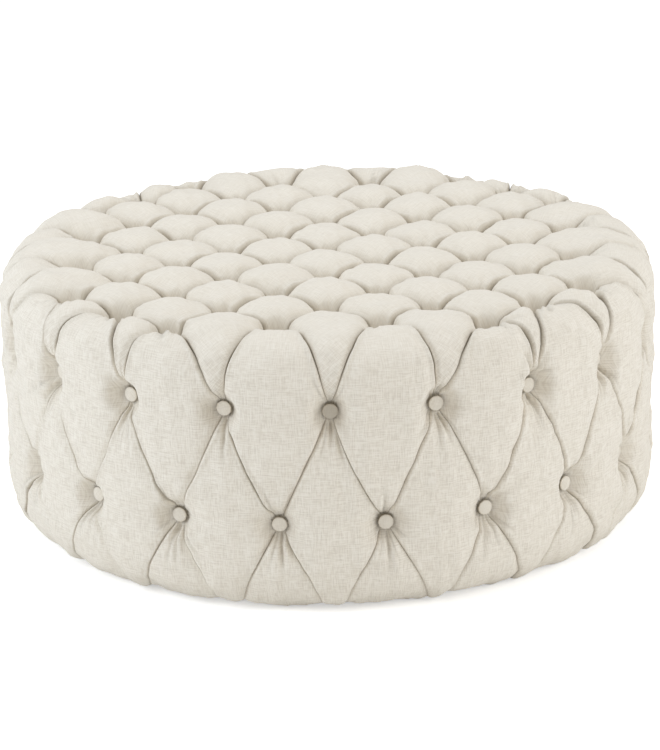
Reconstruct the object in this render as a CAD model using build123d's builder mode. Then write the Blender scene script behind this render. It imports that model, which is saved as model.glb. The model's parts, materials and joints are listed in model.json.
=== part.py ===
from build123d import *
from math import ceil, cos, degrees, hypot, pi, radians, sin, sqrt, tan
import os

os.makedirs("parts", exist_ok=True)

# Round button-tufted ottoman. Millimetres, +Z up, origin on the floor under its middle, front towards -Y.

# Outer form: the crowns of the padded puffs
diameter = 1016.0
height = 420.0
top_edge_reach = 80.0
top_edge_drop = 68.0
foot_edge_reach = 52.0
foot_edge_rise = 78.0

# Tufting
cell_diagonal = 151.0
tuft_depth = 42.0
side_tuft_depth = 27.0
side_button_count = 20
upper_row_drop = 29.0
lower_row_height = 137.0
crease_share = 0.5
stray_corner_share = 0.7
rim_band = 73.0
hem_pleat_share = 0.65
hem_crease_share = 0.15

# Cover, filling and foam
cover_thickness = 2.5
top_wadding_least = 2.5
side_wadding_least = 4.5
side_foam_thickness = 20.0
side_foam_lift = 54.0
hem_width = 50.0

# Timber frame
board_thickness = 15.0
wall_thickness = 4.0
wall_seam = 1.0
base_ring_width = 120.0
post_count = 8
post_width = 38.0
post_clearance = 0.6
batten_width = 38.0
batten_depth = 38.0
batten_length = 800.0
batten_screw_spacing = 300.0

# Covered buttons, their ties and toggles
button_radius = 11.0
button_edge = 2.5
button_dome = 4.5
button_shank_radius = 2.0
button_shank_length = 4.0
button_clearance = 0.4
tie_radius = 1.0
tie_hole_radius = 2.5
toggle_radius = 7.0
toggle_thickness = 3.0
tie_edge_margin = 8.0
wall_toggle_clearance = 0.1

# Screws, nails and tacks
screw_shank_radius = 2.0
screw_head_radius = 4.0
screw_head_angle = 90.0
screw_length = 40.0
nail_shank_radius = 1.0
nail_head_radius = 2.5
nail_head_depth = 1.0
nail_length = 18.0
nail_margin = 30.0
nail_rows = 3
nail_sink = 0.1
tack_shank_radius = 0.8
tack_head_radius = 4.0
tack_head_depth = 0.8
tack_length = 11.0
tack_count = 40
hem_tack_setback = 10.0

# Underside
dust_cover_thickness = 0.8
dust_cover_overlap = 18.0
glide_count = 6
glide_radius = 15.0
glide_height = 6.3
glide_setback = 30.0
glide_nail_radius = 2.0
glide_nail_length = 10.0
glide_clearance = 0.5
glide_chamfer = 1.0
overrun = 1.0

# Places that follow from the sizes
outer_radius = diameter / 2
seat_radius = outer_radius - side_tuft_depth
side_foam_radius = seat_radius - cover_thickness - side_wadding_least
wall_radius = side_foam_radius - side_foam_thickness
frame_radius = wall_radius - wall_thickness
hem_bottom = glide_height - cover_thickness
foot_radius = outer_radius - foot_edge_reach
join_height = height - top_edge_drop
base_bottom = glide_height
base_top = base_bottom + board_thickness
deck_top = join_height
deck_bottom = deck_top - board_thickness
side_foam_bottom = base_bottom + side_foam_lift
upper_row_height = deck_bottom - upper_row_drop
button_pitch = 360 / side_button_count
seat_angle = degrees((button_radius + button_clearance) / seat_radius)
well_radius = button_radius + button_clearance
cell_side = cell_diagonal / sqrt(2)
rim_limit = frame_radius - tie_edge_margin
cells = ceil(outer_radius / cell_side)
post_radius = frame_radius - post_clearance - post_width / 2
hem_inner_radius = foot_radius - hem_width
hem_tack_radius = frame_radius - hem_tack_setback
dust_tack_radius = hem_inner_radius + dust_cover_overlap / 2
glide_circle_radius = frame_radius - base_ring_width + glide_radius + glide_setback
side_toggle_radius = frame_radius - wall_toggle_clearance
screw_head_depth = (screw_head_radius - screw_shank_radius) / tan(radians(screw_head_angle / 2))
pilot_depth = screw_length - board_thickness
batten_offset = cell_diagonal * 3 / 4
batten_screw_places = [
    (side * batten_offset, row * batten_screw_spacing) for side in (-1, 1) for row in (-1, 0, 1)
]
post_angles = [360 / post_count * (index + 0.5) for index in range(post_count)]


def polar_point(angle, radius):
    # Point at an angle from the front, turning towards +X.
    return (radius * sin(radians(angle)), -radius * cos(radians(angle)))


post_places = [polar_point(angle, post_radius) for angle in post_angles]


def crown_height(radius):
    # Height of the puffs' crowns: flat in the middle, an ellipse over the rim, then a steep line.
    flat_radius = outer_radius - top_edge_reach
    ellipse_end_share = 0.97
    reach_limit_share = 1.35
    reach = min(reach_limit_share, max(0.0, (radius - flat_radius) / top_edge_reach))
    on_ellipse = min(reach, ellipse_end_share)
    rise = sqrt(1 - on_ellipse**2)
    slope = on_ellipse / rise
    return join_height + top_edge_drop * (rise - slope * (reach - on_ellipse))


def crown_radius(level):
    # Radius of the side's crowns: upright, and drawn in on an ellipse at the foot.
    rise = min(1.0, max(0.0, (level - hem_bottom) / foot_edge_rise))
    return foot_radius + foot_edge_reach * sqrt(1 - (1 - rise) ** 2)


lattice = [
    (across * cell_diagonal / 2, along * cell_diagonal / 2)
    for along in range(-2 * cells, 2 * cells + 1)
    for across in range(-2 * cells, 2 * cells + 1)
    if (across + along) % 2 == 0
]
top_places = [place for place in lattice if hypot(*place) <= rim_limit]
rim_start = rim_limit - rim_band
crown_places = [place for place in top_places if hypot(*place) < rim_start]
rim_places = [place for place in top_places if hypot(*place) >= rim_start]
foam_top = crown_height(rim_limit) - tuft_depth - cover_thickness - top_wadding_least


def seat_height(place):
    # Height of the button's seat on the cover.
    return crown_height(hypot(*place)) - tuft_depth


def tufted_height(along_u, along_v):
    # Top of the puffs at a corner, on a crease or on the crown of a diamond, in diamond steps.
    radius = hypot(along_u, along_v) * cell_side
    corner_shares = [abs(step - round(step)) * 2 for step in (along_u, along_v)]
    depth = tuft_depth * (1 - sum(corner_shares) / 2)
    if sum(corner_shares) == 0 and radius > rim_limit:
        depth = tuft_depth * stray_corner_share
    return crown_height(radius) - depth


def side_plane(angle, radius, level):
    # Plane on the side that faces straight out, at an angle from the front.
    outward = (sin(radians(angle)), -cos(radians(angle)), 0)
    return Plane(
        origin=(radius * outward[0], radius * outward[1], level),
        x_dir=(cos(radians(angle)), sin(radians(angle)), 0),
        z_dir=outward,
    )


def side_planes(radius, level, first_share):
    # One plane for each button of a row.
    return [
        side_plane(button_pitch * (index + first_share), radius, level)
        for index in range(side_button_count)
    ]


side_button_planes = side_planes(seat_radius, upper_row_height, 0)
side_button_planes += side_planes(seat_radius, lower_row_height, 0.5)
side_tie_planes = side_planes(wall_radius, upper_row_height, 0)
side_tie_planes += side_planes(wall_radius, lower_row_height, 0.5)


def nail_planes(post_angle):
    # Two columns of nails, one each side of the post's middle line.
    column = degrees(post_width / 4 / wall_radius)
    bottom = base_top + nail_margin
    gap = (deck_bottom - nail_margin - bottom) / (nail_rows - 1)
    return [
        side_plane(post_angle + side * column, wall_radius - nail_sink, bottom + gap * row)
        for side in (-1, 1)
        for row in range(nail_rows)
    ]


def crease_angle(level):
    # Half the angle between the two creases beside each upper button's line.
    half = button_pitch / 2
    spread = half - 2 * seat_angle
    rim_level = foam_top + cover_thickness
    if level >= upper_row_height:
        return seat_angle + spread * (level - upper_row_height) / (rim_level - upper_row_height)
    if level >= lower_row_height:
        drop = (upper_row_height - level) / (upper_row_height - lower_row_height)
        return seat_angle + spread * drop
    drop = (lower_row_height - level) / (lower_row_height - hem_bottom)
    return half - seat_angle - (half * hem_pleat_share - seat_angle) * drop


def crease_depth(level):
    # Full depth at the two button rows, shallower between them and at the hem.
    if level >= lower_row_height:
        gap = upper_row_height - lower_row_height
        share = abs(sin(pi * (level - lower_row_height) / gap))
        return side_tuft_depth * (1 - crease_share * share)
    drop = (lower_row_height - level) / (lower_row_height - hem_bottom)
    return side_tuft_depth * (1 - (1 - hem_crease_share) * sin(pi / 2 * drop))


def side_outline(level):
    # Closed ring of arcs: a puff over each upper button's line and one between each two.
    crown = crown_radius(level)
    crease = crown - crease_depth(level)
    half = button_pitch / 2
    angle = crease_angle(level)
    full_width = half / 2 - seat_angle
    for index in range(side_button_count):
        for middle, width in ((0, angle), (half, half - angle)):
            centre = index * button_pitch + middle
            fullness = sin(pi / 2 * min(1.0, (width - seat_angle) / full_width))
            bulge = crease + (crown - crease) * fullness
            ThreePointArc(
                polar_point(centre - width, crease),
                polar_point(centre, bulge),
                polar_point(centre + width, crease),
            )


def side_levels():
    # Levels of the sections, closer where the side turns in at the foot.
    foot_shares = (0.0, 0.06, 0.2, 0.45)
    between_shares = (0.0, 0.25, 0.5, 0.75, 1.0)
    foot = [hem_bottom + (lower_row_height - hem_bottom) * share for share in foot_shares]
    gap = upper_row_height - lower_row_height
    return foot + [lower_row_height + gap * share for share in between_shares] + [join_height]


def strip_plane(along_v):
    # Upright plane along one row of diamonds, its x along the row and its y up.
    across = along_v * cell_side / sqrt(2)
    return Plane(origin=(across, -across, 0), x_dir=(1, 1, 0), z_dir=(1, -1, 0))


def strip_outline(along_v):
    # Scalloped upper edge of one section through a row of diamonds, closed below.
    floor_level = base_top
    ends = [(side * cells * cell_side, tufted_height(side * cells, along_v)) for side in (-1, 1)]
    for step in range(-cells, cells):
        ThreePointArc(
            (step * cell_side, tufted_height(step, along_v)),
            ((step + 0.5) * cell_side, tufted_height(step + 0.5, along_v)),
            ((step + 1) * cell_side, tufted_height(step + 1, along_v)),
        )
    Polyline(ends[1], (ends[1][0], floor_level), (ends[0][0], floor_level), ends[0])


def top_form():
    # Solid under the tufted top, from the join with the side upwards, with a well for each button.
    with BuildPart() as form:
        for step in range(-cells, cells):
            for share in (0, 0.5, 1):
                with BuildSketch(strip_plane(step + share)):
                    with BuildLine():
                        strip_outline(step + share)
                    make_face()
            loft()
        with BuildSketch(Plane.XY.offset(join_height)):
            Circle(outer_radius)
        extrude(amount=top_edge_drop + overrun, mode=Mode.INTERSECT)
        with Locations(*[(*place, seat_height(place)) for place in top_places]):
            Cylinder(
                well_radius,
                tuft_depth + overrun,
                align=(Align.CENTER, Align.CENTER, Align.MIN),
                mode=Mode.SUBTRACT,
            )
    return form.part


def side_form():
    # Solid inside the tufted side, with a well for each button.
    with BuildPart() as form:
        for level in side_levels():
            with BuildSketch(Plane.XY.offset(level)):
                with BuildLine():
                    side_outline(level)
                make_face()
        loft(ruled=True)
        with Locations(*side_button_planes):
            Cylinder(
                well_radius,
                side_tuft_depth + overrun,
                align=(Align.CENTER, Align.CENTER, Align.MIN),
                mode=Mode.SUBTRACT,
            )
    return form.part


# Firm foam sheet on the deck and foam wrap round the wall, with a hole for each tie
with BuildPart() as top_foam:
    with BuildSketch(Plane.XY.offset(deck_top)):
        Circle(side_foam_radius)
        with Locations(*top_places):
            Circle(tie_hole_radius, mode=Mode.SUBTRACT)
    extrude(amount=foam_top - deck_top)
top_foam.part.label = "top_foam"
export_step(top_foam.part, "parts/top_foam.step")

with BuildPart() as side_foam:
    with BuildSketch(Plane.XY.offset(side_foam_bottom)):
        Circle(side_foam_radius)
        Circle(wall_radius, mode=Mode.SUBTRACT)
    extrude(amount=join_height - side_foam_bottom)
    with Locations(*side_tie_planes):
        Cylinder(tie_hole_radius, 2 * side_foam_thickness, mode=Mode.SUBTRACT)
side_foam.part.label = "side_foam"
export_step(side_foam.part, "parts/side_foam.step")

# Tufted top: the linen cover with its soft filling, lying on the foam sheet
with BuildPart() as tufted_top:
    add(top_form())
    with BuildSketch(Plane.XY.offset(deck_top)):
        Circle(side_foam_radius)
    extrude(amount=foam_top - deck_top, mode=Mode.SUBTRACT)
    with Locations(*[(*place, foam_top) for place in top_places]):
        Cylinder(tie_hole_radius, 2 * tuft_depth, mode=Mode.SUBTRACT)
tufted_top.part.label = "tufted_top"
export_step(tufted_top.part, "parts/tufted_top.step")

# Tufted side: the cover with its filling round foam and wall, its hem turned in under the base
with BuildPart() as tufted_side:
    add(side_form())
    with BuildSketch(Plane.XY.offset(hem_bottom)):
        Circle(hem_inner_radius)
        with PolarLocations(hem_tack_radius, tack_count):
            Circle(tack_shank_radius)
        with PolarLocations(dust_tack_radius, tack_count // 2):
            Circle(tack_shank_radius)
    extrude(amount=cover_thickness, mode=Mode.SUBTRACT)
    with BuildSketch(Plane.XY.offset(base_bottom)):
        Circle(wall_radius)
    extrude(amount=join_height, mode=Mode.SUBTRACT)
    with BuildSketch(Plane.XY.offset(side_foam_bottom)):
        Circle(side_foam_radius)
    extrude(amount=join_height, mode=Mode.SUBTRACT)
    with Locations(*side_tie_planes):
        Cylinder(tie_hole_radius, 4 * side_tuft_depth, mode=Mode.SUBTRACT)
tufted_side.part.label = "tufted_side"
export_step(tufted_side.part, "parts/tufted_side.step")

# Covered button: a cap with a rounded top edge, and the shank that the tie holds
with BuildPart() as button:
    Cylinder(
        button_radius,
        button_edge + button_dome,
        align=(Align.CENTER, Align.CENTER, Align.MIN),
    )
    fillet(button.edges().group_by(Axis.Z)[-1], button_dome)
    Cylinder(
        button_shank_radius,
        button_shank_length,
        align=(Align.CENTER, Align.CENTER, Align.MAX),
    )

with BuildPart() as crown_buttons:
    with Locations(*[(*place, seat_height(place)) for place in crown_places]):
        add(button.part)
crown_buttons.part.label = "crown_buttons"
export_step(crown_buttons.part, "parts/crown_buttons.step")

with BuildPart() as rim_buttons:
    with Locations(*[(*place, seat_height(place)) for place in rim_places]):
        add(button.part)
rim_buttons.part.label = "rim_buttons"
export_step(rim_buttons.part, "parts/rim_buttons.step")

with BuildPart() as upper_side_buttons:
    with Locations(*side_planes(seat_radius, upper_row_height, 0)):
        add(button.part)
upper_side_buttons.part.label = "upper_side_buttons"
export_step(upper_side_buttons.part, "parts/upper_side_buttons.step")

with BuildPart() as lower_side_buttons:
    with Locations(*side_planes(seat_radius, lower_row_height, 0.5)):
        add(button.part)
lower_side_buttons.part.label = "lower_side_buttons"
export_step(lower_side_buttons.part, "parts/lower_side_buttons.step")

# Twine ties from the shanks through filling, foam and timber
for name, places in (("crown_ties", crown_places), ("rim_ties", rim_places)):
    with BuildPart() as ties:
        for place in places:
            with BuildSketch(Plane.XY.offset(deck_bottom)):
                with Locations(place):
                    Circle(tie_radius)
            extrude(amount=seat_height(place) - button_shank_length - deck_bottom)
    ties.part.label = name
    export_step(ties.part, f"parts/{name}.step")

side_tie_length = seat_radius - button_shank_length - side_toggle_radius
for name, level, share in (
    ("upper_side_ties", upper_row_height, 0),
    ("lower_side_ties", lower_row_height, 0.5),
):
    with BuildPart() as ties:
        with Locations(*side_planes(side_toggle_radius, level, share)):
            Cylinder(tie_radius, side_tie_length, align=(Align.CENTER, Align.CENTER, Align.MIN))
    ties.part.label = name
    export_step(ties.part, f"parts/{name}.step")

# Toggles that stop the ties under the deck and inside the wall
with BuildPart() as deck_toggles:
    with BuildSketch(Plane.XY.offset(deck_bottom)):
        with Locations(*top_places):
            Circle(toggle_radius)
    extrude(amount=-toggle_thickness)
deck_toggles.part.label = "deck_toggles"
export_step(deck_toggles.part, "parts/deck_toggles.step")

with BuildPart() as wall_toggles:
    with Locations(
        *side_planes(side_toggle_radius, upper_row_height, 0),
        *side_planes(side_toggle_radius, lower_row_height, 0.5),
    ):
        Cylinder(toggle_radius, toggle_thickness, align=(Align.CENTER, Align.CENTER, Align.MAX))
wall_toggles.part.label = "wall_toggles"
export_step(wall_toggles.part, "parts/wall_toggles.step")

# Plywood deck with a hole for each tie and a countersink for each screw
with BuildPart() as deck:
    with BuildSketch(Plane.XY.offset(deck_bottom)):
        Circle(frame_radius)
        with Locations(*top_places):
            Circle(tie_hole_radius, mode=Mode.SUBTRACT)
    extrude(amount=board_thickness)
    with Locations(*[(*place, deck_top) for place in post_places + batten_screw_places]):
        CounterSinkHole(screw_shank_radius, screw_head_radius, board_thickness, screw_head_angle)
deck.part.label = "deck"
export_step(deck.part, "parts/deck.step")

# Plywood base ring, screwed up into the posts
with BuildPart() as base_ring:
    with BuildSketch(Plane.XY.offset(base_bottom)):
        Circle(frame_radius)
        Circle(frame_radius - base_ring_width, mode=Mode.SUBTRACT)
    extrude(amount=board_thickness)
    with Locations(*[Plane((*place, base_bottom), z_dir=(0, 0, -1)) for place in post_places]):
        CounterSinkHole(screw_shank_radius, screw_head_radius, board_thickness, screw_head_angle)
    for radius, count in ((hem_tack_radius, tack_count), (dust_tack_radius, tack_count // 2)):
        with BuildSketch(Plane.XY.offset(base_bottom)):
            with PolarLocations(radius, count):
                Circle(tack_shank_radius)
        extrude(amount=tack_length - cover_thickness, mode=Mode.SUBTRACT)
    with BuildSketch(Plane.XY.offset(base_bottom)):
        with PolarLocations(glide_circle_radius, glide_count):
            Circle(glide_nail_radius)
    extrude(amount=glide_nail_length, mode=Mode.SUBTRACT)
base_ring.part.label = "base_ring"
export_step(base_ring.part, "parts/base_ring.step")

# Pine posts, bored for the screws at both ends and for the wall nails
for number, angle in enumerate(post_angles, start=1):
    place = polar_point(angle, post_radius)
    with BuildPart() as post:
        with BuildSketch(Plane.XY.offset(base_top)):
            with Locations(Location((*place, 0), (0, 0, angle))):
                Rectangle(post_width, post_width)
        extrude(amount=deck_bottom - base_top)
        with Locations((*place, base_top), (*place, deck_bottom)):
            Cylinder(screw_shank_radius, 2 * pilot_depth, mode=Mode.SUBTRACT)
        with Locations(*nail_planes(angle)):
            Cylinder(nail_shank_radius, 2 * nail_length, mode=Mode.SUBTRACT)
    name = f"post_{number}"
    post.part.label = name
    export_step(post.part, f"parts/{name}.step")

# Hardboard wall in two bent halves that meet on two of the posts
for name, turn in (("wall_right", 0), ("wall_left", 180)):
    angle = post_angles[0] - 90 + turn
    shift = (-sin(radians(angle)) * wall_seam / 2, cos(radians(angle)) * wall_seam / 2)
    with BuildPart() as wall:
        with BuildSketch(Plane.XY.offset(base_bottom)):
            Circle(wall_radius)
            Circle(frame_radius, mode=Mode.SUBTRACT)
            with Locations(shift):
                Rectangle(
                    2 * diameter,
                    diameter,
                    rotation=angle,
                    align=(Align.CENTER, Align.MIN),
                    mode=Mode.INTERSECT,
                )
        extrude(amount=deck_top - base_bottom)
        with Locations(*side_tie_planes):
            Cylinder(tie_hole_radius, 4 * wall_thickness, mode=Mode.SUBTRACT)
        with Locations(*[plane for post_angle in post_angles for plane in nail_planes(post_angle)]):
            Cylinder(nail_shank_radius, 2 * nail_length, mode=Mode.SUBTRACT)
            Cylinder(nail_head_radius, 2 * nail_head_depth, mode=Mode.SUBTRACT)
    wall.part.label = name
    export_step(wall.part, f"parts/{name}.step")

# Battens that stiffen the deck, between two columns of ties
for name, side in (("batten_right", 1), ("batten_left", -1)):
    with BuildPart() as batten:
        with BuildSketch(Plane.XY.offset(deck_bottom)):
            with Locations((side * batten_offset, 0)):
                Rectangle(batten_width, batten_length)
        extrude(amount=-batten_depth)
        with Locations(*[(*place, deck_bottom) for place in batten_screw_places]):
            Cylinder(screw_shank_radius, 2 * pilot_depth, mode=Mode.SUBTRACT)
    batten.part.label = name
    export_step(batten.part, f"parts/{name}.step")

# Countersunk wood screw, head up, and the three groups of it
with BuildPart() as screw:
    Cylinder(screw_shank_radius, screw_length, align=(Align.CENTER, Align.CENTER, Align.MAX))
    with Locations((0, 0, -screw_head_depth)):
        Cone(
            screw_shank_radius,
            screw_head_radius,
            screw_head_depth,
            align=(Align.CENTER, Align.CENTER, Align.MIN),
        )

for name, places in (("deck_screws", post_places), ("batten_screws", batten_screw_places)):
    with BuildPart() as screws:
        with Locations(*[(*place, deck_top) for place in places]):
            add(screw.part)
    screws.part.label = name
    export_step(screws.part, f"parts/{name}.step")

with BuildPart() as base_screws:
    with Locations(*[Plane((*place, base_bottom), z_dir=(0, 0, -1)) for place in post_places]):
        add(screw.part)
base_screws.part.label = "base_screws"
export_step(base_screws.part, "parts/base_screws.step")

# Flat-headed nails that hold the wall on the posts
with BuildPart() as wall_nails:
    with Locations(*[plane for post_angle in post_angles for plane in nail_planes(post_angle)]):
        Cylinder(nail_head_radius, nail_head_depth, align=(Align.CENTER, Align.CENTER, Align.MAX))
        Cylinder(nail_shank_radius, nail_length, align=(Align.CENTER, Align.CENTER, Align.MAX))
wall_nails.part.label = "wall_nails"
export_step(wall_nails.part, "parts/wall_nails.step")

# Tacks through the turned-in hem, and through the dust cover over it
for name, radius, count, level in (
    ("hem_tacks", hem_tack_radius, tack_count, hem_bottom),
    ("dust_cover_tacks", dust_tack_radius, tack_count // 2, hem_bottom - dust_cover_thickness),
):
    with BuildPart() as tacks:
        with BuildSketch(Plane.XY.offset(level)):
            with PolarLocations(radius, count):
                Circle(tack_head_radius)
        extrude(amount=-tack_head_depth)
        with BuildSketch(Plane.XY.offset(level)):
            with PolarLocations(radius, count):
                Circle(tack_shank_radius)
        extrude(amount=tack_length)
    tacks.part.label = name
    export_step(tacks.part, f"parts/{name}.step")

# Dust cover under the base, open round each glide
with BuildPart() as dust_cover:
    with BuildSketch(Plane.XY.offset(hem_bottom)):
        Circle(hem_inner_radius + dust_cover_overlap)
        with PolarLocations(dust_tack_radius, tack_count // 2):
            Circle(tack_shank_radius, mode=Mode.SUBTRACT)
        with PolarLocations(glide_circle_radius, glide_count):
            Circle(glide_radius + glide_clearance, mode=Mode.SUBTRACT)
    extrude(amount=-dust_cover_thickness)
dust_cover.part.label = "dust_cover"
export_step(dust_cover.part, "parts/dust_cover.step")

# Nail-in glides, the faces that the ottoman stands on
with BuildPart() as glides:
    with BuildSketch():
        with PolarLocations(glide_circle_radius, glide_count):
            Circle(glide_radius)
    extrude(amount=glide_height)
    chamfer(glides.edges().group_by(Axis.Z)[0], glide_chamfer)
    with BuildSketch(Plane.XY.offset(glide_height)):
        with PolarLocations(glide_circle_radius, glide_count):
            Circle(glide_nail_radius)
    extrude(amount=glide_nail_length)
glides.part.label = "glides"
export_step(glides.part, "parts/glides.step")

print(f"{len(top_places)} top buttons, {len(rim_places)} of them at the rim")
print(f"cell side {cell_side:.1f}, foam sheet {foam_top - deck_top:.1f} thick")
print(f"frame radius {frame_radius:.1f}, deck at {deck_top:.1f}")
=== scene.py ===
import json
import math
import bpy
import numpy as np
from mathutils import Matrix, Vector


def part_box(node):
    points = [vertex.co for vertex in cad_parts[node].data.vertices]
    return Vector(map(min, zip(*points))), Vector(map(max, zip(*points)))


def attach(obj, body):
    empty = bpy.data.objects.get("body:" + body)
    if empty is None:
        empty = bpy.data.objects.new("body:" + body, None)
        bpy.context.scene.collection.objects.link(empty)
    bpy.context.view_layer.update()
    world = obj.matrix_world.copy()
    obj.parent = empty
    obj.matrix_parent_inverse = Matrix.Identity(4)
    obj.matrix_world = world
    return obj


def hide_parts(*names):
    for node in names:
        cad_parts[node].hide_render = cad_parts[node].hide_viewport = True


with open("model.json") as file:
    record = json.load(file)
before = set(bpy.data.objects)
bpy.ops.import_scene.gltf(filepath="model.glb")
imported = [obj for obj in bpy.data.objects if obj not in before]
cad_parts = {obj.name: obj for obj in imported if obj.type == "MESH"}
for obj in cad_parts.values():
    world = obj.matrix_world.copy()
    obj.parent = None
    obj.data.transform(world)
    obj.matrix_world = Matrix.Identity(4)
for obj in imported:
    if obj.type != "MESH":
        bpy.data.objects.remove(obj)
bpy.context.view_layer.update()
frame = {"nodes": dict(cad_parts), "record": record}
randomDraw = np.random.default_rng(7)

# The cover's form, in metres: the same tufting as the frame's solids, with its fine folds
cover = {
    "topReach": 0.080,           # how far in from the rim the top starts to fall
    "topDrop": 0.068,
    "footReach": 0.052,
    "footRise": 0.078,
    "hemWidth": 0.045,
    "hemRows": 6,                # mesh rows of the turned-in hem
    "hemClearance": 0.001,
    "arcSteps": 160,             # points along each rounded part of the outline
    "slopeStep": 0.0015,         # length over which the outline's slope is measured
    "leanFrom": 22,              # degrees of slope where the way out starts to lean from up to outwards
    "leanSpan": 56,
    "cellDiagonal": 0.151,
    "gridReach": 8,              # half diagonals each way in which the top's buttons are looked for
    "rimLimit": 0.442,           # farthest button of the top from its middle
    "crownLimit": 4.9,           # half diagonals, beyond which a button belongs to the rim
    "sideCount": 20,
    "upperRow": 0.308,
    "lowerRow": 0.137,
    "hemSpread": 7.6,            # degrees from a lower button to its pleats at the hem
    "hemSpreadPlay": 0.5,
    "topDepth": 0.042,           # crown to button seat
    "sideDepth": 0.027,
    "hemDepth": 0.0022,
    "edgeSteps": 38,             # mesh intervals along each pleat
    "edgeGrading": 0.82,         # how much finer the mesh is beside a pleat
    "fullness": 3.0,             # how soon a puff rises from its pleats
    "spanFullness": 1.4,         # times that for a puff that widens from one button
    "bubble": 0.75,              # how flat the crown of a four-sided puff is
    "rimCrown": 0.55,            # where a widening puff stands highest, as a share of its length
    "sideCrown": 0.42,
    "hemCrown": 0.6,
    "crownPlay": 0.0030,         # how much the puffs differ in height
    "crownRange": {"top": (-1, 1), "side": (-1, 0.5), "hem": (0, 1)},
    "rearLeftLift": 0.0095,      # the rim's puffs stand a little fuller there
    "rearLeftPlace": (252, 30),  # middle and half width, degrees from the front
}


def profileTable():
    # Envelope of the crowns from the middle of the top to the turned-in hem, by its length
    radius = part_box("tufted_side")[1][0]
    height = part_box("tufted_top")[1][2]
    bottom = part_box("tufted_side")[0][2]
    quarter = np.linspace(0, math.pi / 2, cover["arcSteps"])
    topR = radius - cover["topReach"] + cover["topReach"] * np.sin(quarter)
    topZ = height - cover["topDrop"] + cover["topDrop"] * np.cos(quarter)
    footR = radius - cover["footReach"] + cover["footReach"] * np.cos(quarter)
    footZ = bottom + cover["footRise"] - cover["footRise"] * np.sin(quarter)
    r = np.concatenate([[0.0], topR, footR, [footR[-1] - cover["hemWidth"]]])
    z = np.concatenate([[height], topZ, footZ, [bottom]])
    s = np.concatenate([[0.0], np.cumsum(np.hypot(np.diff(r), np.diff(z)))])
    return r, z, s


profileR, profileZ, profileS = profileTable()
topCount = cover["arcSteps"] + 1                    # profile points that belong to the top
hemS = profileS[-2]
sideS = profileS[topCount - 1]                      # where the rim has turned into the side
sideRadius = float(profileR.max())


# The chart is the cover laid flat: a point's distance from its middle is the length along the profile
def levelOf(chart):
    return np.hypot(chart[..., 0], chart[..., 1])


def turnOf(chart):
    # Radians from the front, turning towards +X
    return np.arctan2(chart[..., 0], -chart[..., 1])


def envelope(chart):
    # Chart to place and the way out: straight up on the top, straight out on the side
    s = levelOf(chart)
    safe = np.maximum(s, 1e-9)
    cosine, sine = chart[..., 0] / safe, chart[..., 1] / safe
    step = cover["slopeStep"]
    r, z = np.interp(s, profileS, profileR), np.interp(s, profileS, profileZ)
    dr = np.interp(s + step, profileS, profileR) - np.interp(s - step, profileS, profileR)
    dz = np.interp(s + step, profileS, profileZ) - np.interp(s - step, profileS, profileZ)
    dr = np.where(s < step, 1.0, dr)
    dz = np.where(s < step, 0.0, dz)
    size = np.maximum(np.hypot(dr, dz), 1e-9)
    tilt = np.degrees(np.arctan2(-dz / size, dr / size))     # 0 on the top, 90 on the side
    over = np.clip((tilt - cover["leanFrom"]) / cover["leanSpan"], 0, 1)
    tilt = np.radians(np.where(tilt < 90, 90 * over * over * (3 - 2 * over), tilt))
    normalR, normalZ = np.sin(tilt), np.cos(tilt)
    place = np.stack([r * cosine, r * sine, z], -1)
    normal = np.stack([normalR * cosine, normalR * sine, normalZ], -1)
    return place, normal


def metres(first, second):
    # Distance between two arrays of chart points, measured on the envelope
    return np.linalg.norm(envelope(first)[0] - envelope(second)[0], axis=-1)


def chartFromTop(x, y):
    r = math.hypot(x, y)
    s = np.interp(r, profileR[:topCount], profileS[:topCount])
    return np.array([x, y]) * (s / r if r > 1e-6 else 1.0)


def chartFromSide(angle, z):
    # Angle in degrees from the front, turning towards +X
    s = np.interp(-z, -profileZ[topCount - 1:-1], profileS[topCount - 1:-1])
    return s * np.array([math.sin(math.radians(angle)), -math.cos(math.radians(angle))])


# Pleats: their curves, depths and folds, metres
pleat = {
    "topBow": 0.0027,            # most sideways curve of a pleat on the top
    "rimBow": 0.0110,            # the pleats over the rim curve out round the side's puffs
    "rimPlay": (0.35, 1.35),
    "rimSkew": 0.8,              # how far the curve bulges towards one end
    "sideBow": 0.0098,
    "towardsFront": 1.3,         # share of the side's bow in a pleat that leans to the front
    "towardsBack": 0.35,
    "sidePlay": 0.25,
    "hemBow": 0.0118,
    "hemPlay": (0.6, 1.1),
    "hemSkew": -0.95,
    "topDepth": 0.0150,          # depth halfway along a pleat on the top, over the rim, on the side
    "rimDepth": 0.0038,
    "sideDepth": 0.0036,
    "hemShare": 0.8,             # of the side's depth, in pleats down to the hem
    "topFall": (2.4, 0.5),       # how steeply a pleat falls to its button, and over what share of its length
    "sideFall": (2.6, 0.46),
    "grooveDepth": 0.0046,
    "grooveWidth": 0.0012,
    "shoulderDepth": 0.0050,     # rounding of a puff down to its pleat
    "shoulderWidth": 0.0085,
    "shoulderCut": 0.55,         # share of that rounding which the side lacks
    "sideCut": 0.34,             # share of the whole relief which the side lacks
    "cutPace": 1.7,              # how soon over the rim both cuts come
    "lipHeight": 0.0028,
    "lipStart": 0.002,
    "lipPlace": 0.0052,
    "lipWidth": 0.0032,
    "underLip": -0.5,            # share of the lip on the side that lies under
    "rimLip": 2.4,               # extra height of the lip over the rim
    "rimBlend": 0.080,           # length over which a pleat goes from broad fold to thin line
    "hemFade": (0.8, 1.5),       # how much of the relief ends at the hem, and how late
    "hemShadeFade": 0.5,
}

# The net of pleats: its nodes are the buttons and the pleats' ends at the hem
nodeChart, nodeDepth, nodeKind = [], [], []
edges = {}


def addNode(chart, depth, kind):
    nodeChart.append(np.array(chart))
    nodeDepth.append(depth)
    nodeKind.append(kind)
    return len(nodeChart) - 1


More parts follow.
